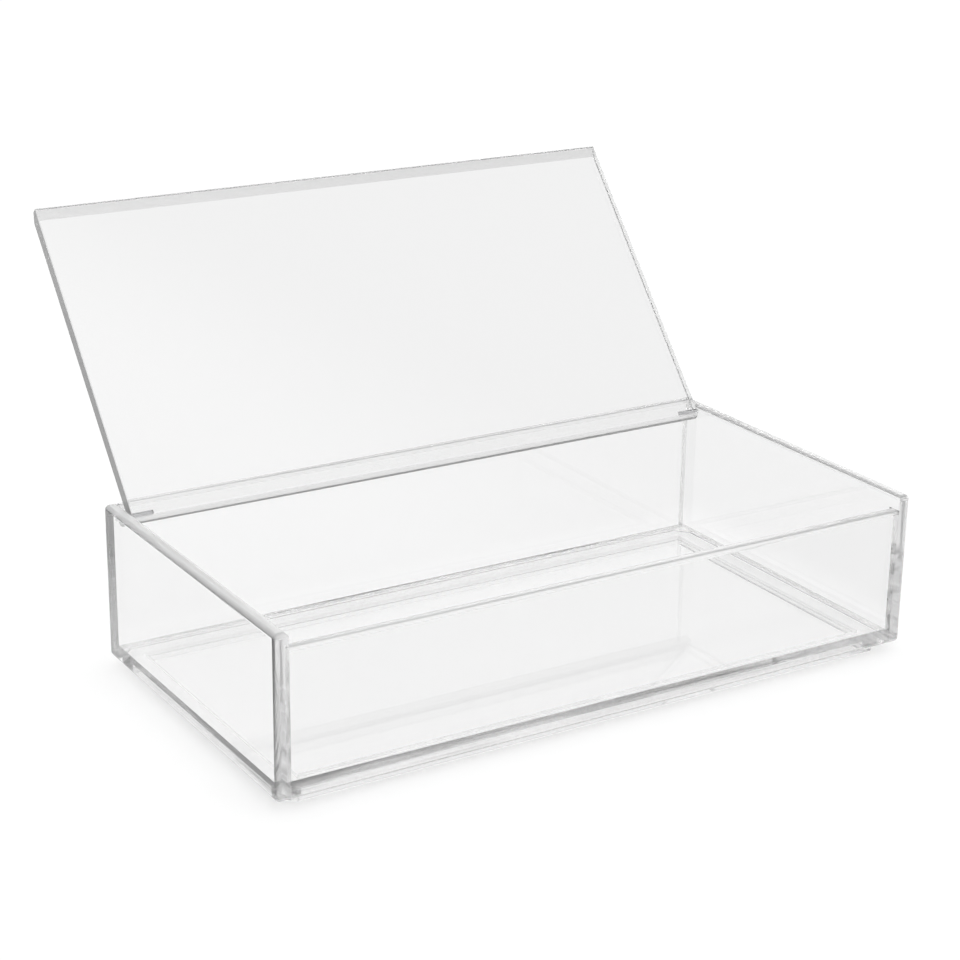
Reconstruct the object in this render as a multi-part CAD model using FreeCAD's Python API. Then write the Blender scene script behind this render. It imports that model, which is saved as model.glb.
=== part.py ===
import FreeCAD, Part
import math
import os

# Clear sheet box with a hinged lid, in millimetres: X runs along the length, the front is at -Y,
# and Z starts at the surface that the box stands on. The lid is modelled open, leaning back.

# Box
box_length = 200.0
box_depth = 104.0
wall_height = 45.0
wall_thickness = 4.0
wall_edge_radius = 1.4
floor_thickness = 4.0

# Base rails under the box
rail_height = 2.8
rail_width = 6.0
rail_inset = 3.5
rail_corner_bevel = 4.0
rail_edge_radius = 0.5

# Lid
lid_thickness = 4.0
lid_bevel_width = 2.9
lid_bevel_depth = 2.0
lid_front_radius = 0.6
lid_rear_radius = 1.8
lid_end_radius = 0.4
lid_front_setback = 1.0
lid_side_gap = 0.4
lid_rear_gap = 1.5
lid_seat_gap = 0.15
lid_stop_gap = 0.15
lid_lean_degrees = 40.5

# Hinge pins
pin_diameter = 1.2
pin_length = 9.0
pin_wall_depth = 2.2
pin_end_bevel = 0.2
pin_running_clearance = 0.05
pin_end_gap = 0.3

# A rounding never takes more than this share of the piece that it is on
largest_round_share = 0.45
largest_corner_share = 0.9

cut_overrun = 1.0
same_place = 1e-6
right_angle = 90.0
x_axis = FreeCAD.Vector(1, 0, 0)

wall_round = min(wall_edge_radius, wall_thickness * largest_round_share)
lid_rear_round = min(lid_rear_radius, lid_thickness * largest_round_share)
lid_front_round = min(lid_front_radius, (lid_thickness - lid_bevel_depth) * largest_round_share)
lid_end_round = min(lid_end_radius, lid_front_round * largest_corner_share)
rail_round = min(rail_edge_radius, rail_height * largest_round_share)
rail_bevel = min(rail_corner_bevel, rail_width * largest_corner_share)

# Outer and inner faces of the box, measured from its middle
half_length = box_length / 2
half_depth = box_depth / 2
inner_half_length = half_length - wall_thickness
inner_half_depth = half_depth - wall_thickness
wall_top = rail_height + wall_height

# The lid closes on the front wall, flush with the tops of the other walls
lid_bottom = wall_top - lid_thickness
front_wall_top = lid_bottom - lid_seat_gap
lid_half_length = inner_half_length - lid_side_gap
lid_front = -half_depth + lid_front_setback
lid_rear = inner_half_depth - lid_rear_gap

# The pin stands as far from the back wall as lets the open lid lean on that wall's rounded top
lid_lean = math.radians(lid_lean_degrees)
lid_half_thickness = lid_thickness / 2
stop_reach = lid_half_thickness + wall_round + lid_stop_gap
stop_rise = lid_half_thickness - wall_round
pin_to_wall = (stop_reach + stop_rise * math.sin(lid_lean)) / math.cos(lid_lean) - wall_round
pin_y = inner_half_depth - pin_to_wall
pin_z = wall_top - lid_half_thickness
pin_radius = pin_diameter / 2
pin_outer_end = inner_half_length + pin_wall_depth
closing_turn = right_angle + lid_lean_degrees


def near(value, target):
    """Whether two places are the same."""
    return abs(value - target) < same_place


def block(low, high):
    """A plain block between two opposite corners."""
    size = [end - start for start, end in zip(low, high)]
    return Part.makeBox(*size, FreeCAD.Vector(*low))


def rounded(solid, radius, chosen):
    """The solid with a rounding on the edges whose middle passes the test."""
    return solid.makeFillet(radius, [edge for edge in solid.Edges if chosen(edge.CenterOfMass)])


def bevelled(solid, width, chosen):
    """The solid with an even bevel on the edges whose middle passes the test."""
    return solid.makeChamfer(width, [edge for edge in solid.Edges if chosen(edge.CenterOfMass)])


def rod(radius, start_x, end_x):
    """A round bar along the hinge axis."""
    direction = x_axis if end_x > start_x else -x_axis
    return Part.makeCylinder(radius, abs(end_x - start_x), FreeCAD.Vector(start_x, pin_y, pin_z), direction)


def end_wall(side):
    """A wall over the full depth, with the blind hole that its hinge pin turns in."""
    outer = side * half_length
    inner = side * inner_half_length
    low = (min(outer, inner), -half_depth, rail_height)
    high = (max(outer, inner), half_depth, wall_top)
    panel = rounded(block(low, high), wall_round,
                    lambda middle: near(middle.z, wall_top) or not near(middle.x, inner))
    hole_radius = pin_radius + pin_running_clearance
    return panel.cut(rod(hole_radius, inner - side * cut_overrun, side * (pin_outer_end + pin_end_gap)))


def cross_wall(side, top):
    """A wall between the two end walls, rounded along its top and its outer lower edge."""
    outer = side * half_depth
    inner = side * inner_half_depth
    low = (-inner_half_length, min(outer, inner), rail_height)
    high = (inner_half_length, max(outer, inner), top)
    return rounded(block(low, high), wall_round,
                   lambda middle: near(middle.x, 0) and (near(middle.z, top) or near(middle.y, outer)))


def floor_panel():
    """The floor, set between the four walls and level with their lower edges."""
    low = (-inner_half_length, -inner_half_depth, rail_height)
    high = (inner_half_length, inner_half_depth, rail_height + floor_thickness)
    return block(low, high)


def long_rail(side):
    """A base rail along the length, with both outer corners bevelled."""
    half_rail = half_length - rail_inset
    outer = side * (half_depth - rail_inset)
    inner = outer - side * rail_width
    rail = block((-half_rail, min(outer, inner), 0), (half_rail, max(outer, inner), rail_height))
    rail = bevelled(rail, rail_bevel,
                    lambda middle: near(middle.z, rail_height / 2) and near(middle.y, outer))
    return rounded(rail, rail_round, lambda middle: near(middle.z, 0) and not near(middle.y, inner))


def short_rail(side):
    """A base rail across the depth, between the two long rails."""
    half_rail = half_depth - rail_inset - rail_width
    outer = side * (half_length - rail_inset)
    inner = outer - side * rail_width
    rail = block((min(outer, inner), -half_rail, 0), (max(outer, inner), half_rail, rail_height))
    return rounded(rail, rail_round, lambda middle: near(middle.z, 0) and near(middle.x, outer))


def lid_sheet():
    """The closed lid's sheet, with a sloping bevel along the front of its upper face."""
    outline = [
        (lid_front, lid_bottom),
        (lid_rear, lid_bottom),
        (lid_rear, wall_top),
        (lid_front + lid_bevel_width, wall_top),
        (lid_front, wall_top - lid_bevel_depth),
    ]
    points = [FreeCAD.Vector(-lid_half_length, y, z) for y, z in outline]
    section = Part.Face(Part.makePolygon(points + points[:1]))
    return section.extrude(x_axis * (lid_half_length * 2))


def lid_panel():
    """The lid, turned open, with a round-nosed rear edge and a blind hole for a pin in each end."""
    panel = rounded(lid_sheet(), lid_rear_round,
                    lambda middle: near(middle.x, 0) and near(middle.y, lid_rear))
    panel = rounded(panel, lid_front_round, lambda middle: near(middle.x, 0) and near(middle.y, lid_front))
    panel = rounded(panel, lid_end_round, lambda middle: near(abs(middle.x), lid_half_length))
    hole_bottom = pin_outer_end - pin_length - pin_end_gap
    for side in (-1, 1):
        panel = panel.cut(rod(pin_radius, side * (lid_half_length + cut_overrun), side * hole_bottom))
    panel.rotate(FreeCAD.Vector(0, pin_y, pin_z), x_axis, -closing_turn)
    return panel


def hinge_pin(side):
    """A straight pin with bevelled ends, fast in the lid and turning in the end wall."""
    pin = rod(pin_radius, side * pin_outer_end, side * (pin_outer_end - pin_length))
    return pin.makeChamfer(pin_end_bevel, [edge for edge in pin.Edges if edge.isClosed()])


nodes = {
    "left_end_wall": end_wall(-1),
    "right_end_wall": end_wall(1),
    "front_wall": cross_wall(-1, front_wall_top),
    "back_wall": cross_wall(1, wall_top),
    "floor_panel": floor_panel(),
    "front_base_rail": long_rail(-1),
    "back_base_rail": long_rail(1),
    "left_base_rail": short_rail(-1),
    "right_base_rail": short_rail(1),
    "lid_panel": lid_panel(),
    "left_hinge_pin": hinge_pin(-1),
    "right_hinge_pin": hinge_pin(1),
}

os.makedirs("parts", exist_ok=True)
for name, shape in nodes.items():
    shape.exportStep(f"parts/{name}.step")

print(f"hinge axis at y {pin_y:.4f}, z {pin_z:.4f}; closing turn {closing_turn:.2f} degrees")
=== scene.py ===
import math

import bpy
from mathutils import Matrix, Vector


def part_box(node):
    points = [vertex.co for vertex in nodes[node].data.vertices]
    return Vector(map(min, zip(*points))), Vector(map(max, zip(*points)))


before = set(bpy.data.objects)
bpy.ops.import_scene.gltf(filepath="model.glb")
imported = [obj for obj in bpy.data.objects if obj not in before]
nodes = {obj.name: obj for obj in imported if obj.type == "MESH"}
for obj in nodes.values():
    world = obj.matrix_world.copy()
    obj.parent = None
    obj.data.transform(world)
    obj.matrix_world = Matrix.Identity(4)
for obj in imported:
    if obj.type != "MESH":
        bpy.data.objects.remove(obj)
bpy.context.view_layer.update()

scene = bpy.context.scene

MM = 0.001
x_axis = Vector((1, 0, 0))
y_axis = Vector((0, 1, 0))
z_axis = Vector((0, 0, 1))
white = (1.0, 1.0, 1.0, 1.0)
white_tone = 1.0

# Pieces that share a material
end_walls = ("left_end_wall", "right_end_wall")
cross_walls = ("front_wall", "back_wall")
base_rails = ("front_base_rail", "back_base_rail", "left_base_rail", "right_base_rail")
hinge_pins = ("left_hinge_pin", "right_hinge_pin")

# Open lid, leaning back from upright
lid_lean = math.radians(40.5)
lid_axis = Vector((0, -math.cos(lid_lean), math.sin(lid_lean)))

# Camera, at the photograph's viewing angle
camera_azimuth = math.radians(-31.80)
camera_elevation = math.radians(19.68)
camera_roll = math.radians(0.82)
camera_distance = 640.6 * MM
camera_target = Vector((-5.66, 8.0, 52.04)) * MM
camera_lens = 86.09
camera_sensor = 36.0

# Floor: its own colour takes the light, and the rest up to white is added for the eye
floor_size = 12.0
floor_colour = (0.45, 0.45, 0.45, 1.0)
floor_roughness = 1.0
floor_gloss = 0.0
floor_lift = 0.56
floor_gap = 0.02 * MM

# Floor round the box, as it shows through the acrylic, with painted shade: less glow than elsewhere,
# paler on the left than on the right
painted_shade_lift = (0.5, 0.45)
around_span = (0.0, 150 * MM)
around_fade = 30 * MM

# Light on the object, from the horizon up to the top, with more of it from the right
light_levels = (1.1, 1.06)
light_heights = (0.0, 1.0)
right_light = 0.2
world_strength = 1.0

# Lower surroundings that the acrylic shows, from front to back, and a little darker on the right
lower_tones = (0.9, 1.0)
lower_depths = (-0.8, 0.8)
lower_right_tone = -0.06

# Upper surroundings that the acrylic shows, paler behind than in front
upper_tone = 0.86
upper_back_tone = 0.2
upper_heights = (math.sin(math.radians(28)), math.sin(math.radians(42)))

# Clear acrylic: polished faces with faint smudges
acrylic_ior = 1.49
acrylic_tint = (0.96, 0.96, 0.96, 1.0)
smudge_scale = 45.0
smudge_range = (0.45, 0.7)
smudge_roughness = (0.0, 0.03)

# Cut edges: a fine grain, and haze that is denser from outside than from inside
cut_facing = (0.998, 0.92)
edge_haze = (0.42, 0.2)
edge_roughness = (0.06, 0.12)
grain_shade = 0.94
grain_scale = 900.0
grain_height = 0.004 * MM
# The lid's cut edges are darkened, a painted shade
lid_painted_edge_shade = 0.92

# Upright edges of the end walls have a part of the haze, and the rails' edges are nearly polished
end_wall_upright_share = 0.6
rail_edge_share = 0.12

# Cemented seams: streaked where the cement has wetted the faces less, and darkened at the streaks with
# painted shade
seam_opacity = (0.3, 0.9)
painted_seam_shade = 0.82
streak_range = (0.35, 0.7)
joint_slack = 0.02 * MM

# Streaks at the floor's edges lie level, and there are more of them towards its top
floor_streak_scale = (16.0, 16.0, 600.0)
floor_streak_top = 0.05
floor_streak_rise = 60.0

# Streaks between the walls are patches, and there are fewer of them higher up and behind
wall_streak_scale = 160.0
wall_streak_slope = (0.0, -3.0, -7.0)

# Ground steel
steel_colour = (0.72, 0.72, 0.73, 1.0)
steel_roughness = (0.22, 0.38)
ring_scale = 1200.0

# Light paths, long enough to cross many clear sheets
clear_bounces = 32
glossy_bounces = 16
diffuse_bounces = 8
glossy_blur = 0.0


def feed(tree, target, value):
    """Feeds an input from a socket, or sets it to a plain value."""
    if isinstance(value, bpy.types.NodeSocket):
        tree.links.new(value, target)
    else:
        target.default_value = value


def add(tree, kind, inputs=None, **settings):
    """Adds a node with the given settings and inputs."""
    node = tree.nodes.new(kind)
    for name, value in settings.items():
        setattr(node, name, value)
    for name, value in (inputs or {}).items():
        feed(tree, node.inputs[name], value)
    return node


def calculate(tree, operation, *values):
    """The output of a Math node."""
    return add(tree, "ShaderNodeMath", dict(enumerate(values)), operation=operation).outputs[0]


def calculate_vector(tree, operation, *values):
    """The vector output of a Vector Math node."""
    return add(tree, "ShaderNodeVectorMath", dict(enumerate(values)), operation=operation).outputs[0]


def dot(tree, first, second):
    """The dot product of two vectors."""
    node = add(tree, "ShaderNodeVectorMath", {0: first, 1: second}, operation="DOT_PRODUCT")
    return node.outputs["Value"]


def split(tree, vector):
    """The X, Y and Z of a vector."""
    return add(tree, "ShaderNodeSeparateXYZ", {"Vector": vector}).outputs


def blend_range(tree, value, start, end, low=0.0, high=1.0):
    """A smooth run from low to high, while the value goes from start to end."""
    inputs = {"Value": value, "From Min": start, "From Max": end, "To Min": low, "To Max": high}
    return add(tree, "ShaderNodeMapRange", inputs, interpolation_type="SMOOTHSTEP").outputs[0]


def mix_values(tree, share, first, second):
    """The first value where the share is 0, and the second where it is 1."""
    return add(tree, "ShaderNodeMix", {0: share, 2: first, 3: second}, data_type="FLOAT").outputs[0]


def mix_colours(tree, share, first, second):
    """The first colour where the share is 0, and the second where it is 1."""
    return add(tree, "ShaderNodeMix", {0: share, 6: first, 7: second}, data_type="RGBA").outputs[2]


def shaded(colour, shade):
    """The colour, darkened to a share of itself."""
    return (*(shade * part for part in colour[:3]), colour[3])


def noise(tree, point, scale=1.0):
    """Smooth noise between 0 and 1, most of it near the middle."""
    return add(tree, "ShaderNodeTexNoise", {"Vector": point, "Scale": scale}).outputs[0]


def inside_box(tree, point, low, high):
    """1 where the point lies in the box between two corners, and 0 outside."""
    centre = (low + high) / 2
    half = (high - low) / 2
    offset = calculate_vector(tree, "SUBTRACT", point, centre)
    beyond = calculate_vector(tree, "SUBTRACT", calculate_vector(tree, "ABSOLUTE", offset), half)
    across, depth, height = split(tree, beyond)
    furthest = calculate(tree, "MAXIMUM", calculate(tree, "MAXIMUM", across, depth), height)
    return calculate(tree, "LESS_THAN", furthest, joint_slack)


def count_boxes(tree, point, boxes):
    """How many of the boxes the point lies in."""
    count = 0.0
    for low, high in boxes:
        count = calculate(tree, "ADD", count, inside_box(tree, point, low, high))
    return count


def new_material(name):
    """A new material, with its node tree and its shader."""
    material = bpy.data.materials.new(name)
    material.use_nodes = True
    tree = material.node_tree
    return material, tree, tree.nodes["Principled BSDF"]


def cut_edges(tree, normal, sheet_axis):
    """0 on a sheet's two faces, rising to 1 over the roundings to its cut edges."""
    facing = calculate(tree, "ABSOLUTE", dot(tree, normal, sheet_axis))
    return blend_range(tree, facing, *cut_facing)


def cut_haze(tree, normal, upright_share):
    """The haze of cut edges from outside and from inside, with a share of it where they are upright."""
    inside = add(tree, "ShaderNodeNewGeometry").outputs["Backfacing"]
    level = calculate(tree, "ABSOLUTE", split(tree, normal)[2])
    share = mix_values(tree, level, upright_share, 1.0)
    return calculate(tree, "MULTIPLY", mix_values(tree, inside, *edge_haze), share)


def seam_noise(tree, point):
    """Noise for the streaks in the seams, at the floor's edges and between the walls above them."""
    floor_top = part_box("floor_panel")[1].z
    height = split(tree, point)[2]
    lift = floor_streak_top - floor_streak_rise * floor_top
    rising = calculate(tree, "MULTIPLY_ADD", height, floor_streak_rise, lift)
    floor_noise = noise(tree, calculate_vector(tree, "MULTIPLY", point, floor_streak_scale))
    floor_noise = calculate(tree, "ADD", floor_noise, rising)
    wall_noise = noise(tree, point, wall_streak_scale)
    wall_noise = calculate(tree, "ADD", wall_noise, dot(tree, point, wall_streak_slope))
    above_floor = calculate(tree, "GREATER_THAN", height, floor_top)
    return mix_values(tree, above_floor, floor_noise, wall_noise)


def add_joints(tree, shader, point, panel_boxes, rail_boxes):
    """Makes joints clear, apart from streaky seams between panels, and gives those seams and streaks."""
    panels = count_boxes(tree, point, panel_boxes)
    pieces = calculate(tree, "ADD", panels, count_boxes(tree, point, rail_boxes))
    seam = calculate(tree, "GREATER_THAN", panels, 1.0)
    joint = calculate(tree, "GREATER_THAN", pieces, 1.0)
    streaks = blend_range(tree, seam_noise(tree, point), *streak_range)
    patches = mix_values(tree, streaks, *seam_opacity)
    free = calculate(tree, "SUBTRACT", 1.0, joint)
    feed(tree, shader.inputs["Alpha"], calculate(tree, "MULTIPLY_ADD", seam, patches, free))
    return seam, calculate(tree, "MULTIPLY", seam, streaks)


def acrylic(name, sheet_axis, joints=(), painted_edge_shade=1.0, edge_share=1.0, upright_share=1.0):
    """Clear sheet with faint smudges on its polished faces, and hazy cut edges and seams."""
    material, tree, shader = new_material(name)
    shader.inputs["IOR"].default_value = acrylic_ior
    place = add(tree, "ShaderNodeTexCoord").outputs
    point = place["Object"]
    normal = place["Normal"]
    cut = calculate(tree, "MULTIPLY", cut_edges(tree, normal, sheet_axis), edge_share)
    smudges = blend_range(tree, noise(tree, point, smudge_scale), *smudge_range, *smudge_roughness)
    grain = noise(tree, point, grain_scale)
    rough = mix_values(tree, grain, *edge_roughness)
    # Cut edges' colour: darkened by painted shade where the edge shade is below 1, as on the lid, and by
    # their own grain
    pale = shaded(acrylic_tint, painted_edge_shade)
    edge_tint_and_shade = mix_colours(tree, grain, pale, shaded(pale, grain_shade))
    if joints:
        seam, streaks = add_joints(tree, shader, point, *joints)
        cut = calculate(tree, "MAXIMUM", cut, seam)
        # Painted shade: the seams are darkened at their streaks
        edge_tint_and_shade = mix_colours(tree, streaks, edge_tint_and_shade, shaded(acrylic_tint, painted_seam_shade))
    edge_clear = calculate(tree, "SUBTRACT", 1.0, cut_haze(tree, normal, upright_share))
    grain_rise = calculate(tree, "MULTIPLY", grain, cut)
    relief = add(tree, "ShaderNodeBump", {"Height": grain_rise, "Distance": grain_height})
    feed(tree, shader.inputs["Base Color"], mix_colours(tree, cut, acrylic_tint, edge_tint_and_shade))
    feed(tree, shader.inputs["Roughness"], mix_values(tree, cut, smudges, rough))
    feed(tree, shader.inputs["Transmission Weight"], mix_values(tree, cut, 1.0, edge_clear))
    feed(tree, shader.inputs["Normal"], relief.outputs[0])
    return material


def steel(name):
    """Ground steel, with fine rings round the axis."""
    material, tree, shader = new_material(name)
    shader.inputs["Base Color"].default_value = steel_colour
    shader.inputs["Metallic"].default_value = 1.0
    along_axis = split(tree, add(tree, "ShaderNodeTexCoord").outputs["Object"])[0]
    rings = noise(tree, add(tree, "ShaderNodeCombineXYZ", {0: along_axis}).outputs[0], ring_scale)
    feed(tree, shader.inputs["Roughness"], mix_values(tree, rings, *steel_roughness))
    return material


def dress(node_names, material):
    """Puts one material on all slots of the nodes."""
    for node_name in node_names:
        for slot in nodes[node_name].material_slots:
            slot.material = material


def dress_box():
    """Puts acrylic on the panels and rails, with one material for sheets that lie the same way."""
    panel_boxes = [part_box(node) for node in (*end_walls, *cross_walls, "floor_panel")]
    rail_boxes = [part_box(node) for node in base_rails]
    joints = (panel_boxes, rail_boxes)
    dress(end_walls, acrylic("end_acrylic", x_axis, joints, upright_share=end_wall_upright_share))
    dress(cross_walls, acrylic("wall_acrylic", y_axis, joints))
    dress(("floor_panel",), acrylic("floor_acrylic", z_axis, joints))
    dress(base_rails, acrylic("rail_acrylic", z_axis, joints, edge_share=rail_edge_share))


def dress_lid():
    """Puts acrylic on the lid, and steel on the pins that it turns on."""
    dress(("lid_panel",), acrylic("lid_acrylic", lid_axis, painted_edge_shade=lid_painted_edge_shade))
    dress(hinge_pins, steel("pin_steel"))


def camera_rays(tree):
    """1 for rays straight from the camera, and 0 for all others."""
    return add(tree, "ShaderNodeLightPath").outputs["Is Camera Ray"]


def seen_rays(tree):
    """1 for rays that show what lies straight ahead, behind acrylic or in gloss, and 0 for lighting."""
    rays = add(tree, "ShaderNodeLightPath").outputs
    seen = calculate(tree, "MAXIMUM", rays["Is Camera Ray"], rays["Is Transmission Ray"])
    seen = calculate(tree, "MAXIMUM", seen, rays["Is Glossy Ray"])
    direct = calculate(tree, "LESS_THAN", rays["Diffuse Depth"], 1.0)
    return calculate(tree, "MULTIPLY", seen, direct)


def floor_glow(tree):
    """What is added to the floor: up to white for the camera, and less round the box through the
    acrylic, as painted shade.
    """
    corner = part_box("right_end_wall")[1]
    across, depth, _ = split(tree, add(tree, "ShaderNodeTexCoord").outputs["Object"])
    beyond_ends = calculate(tree, "SUBTRACT", calculate(tree, "ABSOLUTE", across), corner.x)
    beyond_walls = calculate(tree, "SUBTRACT", calculate(tree, "ABSOLUTE", depth), corner.y)
    beyond = calculate(tree, "MAXIMUM", beyond_ends, beyond_walls)
    # Painted shade: less glow on the floor round the box, deeper towards the right
    around = blend_range(tree, across, *around_span, *painted_shade_lift)
    shown = blend_range(tree, beyond, 0.0, around_fade, floor_lift, around)
    lift = mix_values(tree, camera_rays(tree), shown, floor_lift)
    return calculate(tree, "MULTIPLY", seen_rays(tree), lift)


def make_floor():
    """A wide pale floor, white to the eye, that takes the object's shadow."""
    half = floor_size / 2
    mesh = bpy.data.meshes.new("floor")
    corners = [(-half, -half, 0), (half, -half, 0), (half, half, 0), (-half, half, 0)]
    mesh.from_pydata(corners, [], [range(len(corners))])
    plane = bpy.data.objects.new("floor", mesh)
    scene.collection.objects.link(plane)
    material, tree, shader = new_material("floor_white")
    shader.inputs["Base Color"].default_value = floor_colour
    shader.inputs["Roughness"].default_value = floor_roughness
    shader.inputs["Specular IOR Level"].default_value = floor_gloss
    shader.inputs["Emission Color"].default_value = white
    feed(tree, shader.inputs["Emission Strength"], floor_glow(tree))
    mesh.materials.append(material)
    plane.location.z = -floor_gap


def make_world():
    """Soft light on the object, plain surroundings for the acrylic to show, and white for the camera."""
    world = bpy.data.worlds.new("studio")
    scene.world = world
    world.use_nodes = True
    tree = world.node_tree
    across, depth, height = split(tree, add(tree, "ShaderNodeTexCoord").outputs["Generated"])
    light = blend_range(tree, height, *light_heights, *light_levels)
    light = calculate(tree, "MULTIPLY_ADD", across, right_light, light)
    lower = blend_range(tree, depth, *lower_depths, *lower_tones)
    lower = calculate(tree, "MULTIPLY_ADD", across, lower_right_tone, lower)
    upper = calculate(tree, "MULTIPLY_ADD", depth, upper_back_tone, upper_tone)
    surroundings = mix_values(tree, blend_range(tree, height, *upper_heights), lower, upper)
    tone = mix_values(tree, seen_rays(tree), light, surroundings)
    tone = mix_values(tree, camera_rays(tree), tone, white_tone)
    background = tree.nodes["Background"]
    feed(tree, background.inputs["Color"], tone)
    background.inputs["Strength"].default_value = world_strength


def make_camera():
    """The camera at the photograph's viewing angle."""
    back = Vector((
        math.sin(camera_azimuth) * math.cos(camera_elevation),
        -math.cos(camera_azimuth) * math.cos(camera_elevation),
        math.sin(camera_elevation),
    ))
    level = back.cross(-z_axis).normalized()
    above = back.cross(level)
    right = math.cos(camera_roll) * level + math.sin(camera_roll) * above
    up = back.cross(right)
    data = bpy.data.cameras.new("camera")
    data.lens = camera_lens
    data.sensor_width = camera_sensor
    camera = bpy.data.objects.new("camera", data)
    scene.collection.objects.link(camera)
    turn = Matrix((right, up, back)).transposed().to_4x4()
    camera.matrix_world = Matrix.Translation(camera_target + back * camera_distance) @ turn
    scene.camera = camera


dress_box()
dress_lid()
make_floor()
make_world()
make_camera()
scene.view_settings.view_transform = "Standard"
scene.cycles.max_bounces = clear_bounces
scene.cycles.transmission_bounces = clear_bounces
scene.cycles.transparent_max_bounces = clear_bounces
scene.cycles.glossy_bounces = glossy_bounces
scene.cycles.diffuse_bounces = diffuse_bounces
scene.cycles.blur_glossy = glossy_blur
